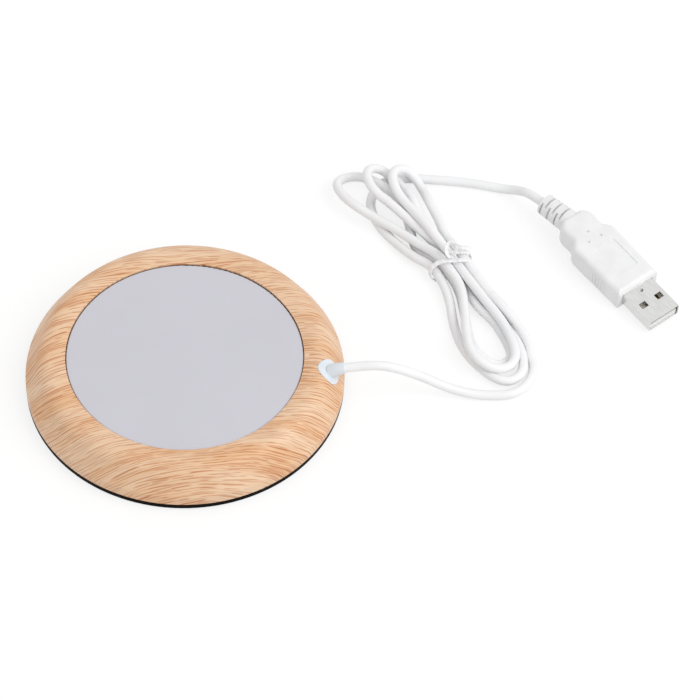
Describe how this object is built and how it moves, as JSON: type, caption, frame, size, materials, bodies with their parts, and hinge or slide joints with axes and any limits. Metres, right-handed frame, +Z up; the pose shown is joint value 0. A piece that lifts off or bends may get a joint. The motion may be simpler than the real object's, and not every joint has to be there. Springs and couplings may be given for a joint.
{
  "type": "electric mug warmer",
  "caption": "Round electric mug warmer: a flat heated plate in a domed wood-look ring on a black base, with a tied cord ending in a USB plug.",
  "frame": {"origin": "on the ring's axis at the level of the table, under the centre of the heated plate", "axes": "+Z up out of the heated plate; +X to the side where the cord leaves the ring, about 6 degrees to the front; +Y to the rear, away from the viewer of the picture"},
  "size_m": [0.2031, 0.1402, 0.0166],
  "materials": {
    "ring_wood": "light wood grain, satin",
    "plate_coat": "matte pale grey",
    "seal_black": "matte",
    "film_amber": "amber film",
    "tinned_copper": "tinned",
    "cutoff_case": "matte",
    "sleeve_clear": "matte",
    "wire_red": "matte",
    "wire_black": "matte",
    "pad_fibre": "felted fibre",
    "carrier_grey": "matte",
    "base_black": "fine matte",
    "screw_steel": "zinc plated",
    "foot_rubber": "matte",
    "grommet_pale": "soft sheen",
    "cord_white": "soft sheen",
    "tie_white": "thin film over wire",
    "grip_white": "satin",
    "shell_nickel": "nickel plated",
    "tongue_white": "matte",
    "contact_gold": "gold plated"
  },
  "bodies": {
    "root": {"wood_grain_ring": "ring_wood", "heating_plate": "plate_coat", "plate_seal": "seal_black", "heater_film": "film_amber", "solder_tag_red": "tinned_copper", "solder_tag_black": "tinned_copper", "thermal_cutoff": "cutoff_case", "splice_sleeve": "sleeve_clear", "red_wire": "wire_red", "black_wire": "wire_black", "insulation_pad": "pad_fibre", "inner_carrier": "carrier_grey", "base_cover": "base_black", "base_screws": "screw_steel", "rear_right_foot": "foot_rubber", "rear_left_foot": "foot_rubber", "front_left_foot": "foot_rubber", "front_right_foot": "foot_rubber", "cord_grommet": "grommet_pale", "cord_lead": "cord_white", "cord_hank": "cord_white", "cord_exit": "cord_white", "twist_tie": "tie_white", "plug_grip": "grip_white", "plug_shell": "shell_nickel", "plug_tongue": "tongue_white", "plug_contact_1": "contact_gold", "plug_contact_2": "contact_gold", "plug_contact_3": "contact_gold", "plug_contact_4": "contact_gold"}
  },
  "joints": []
}
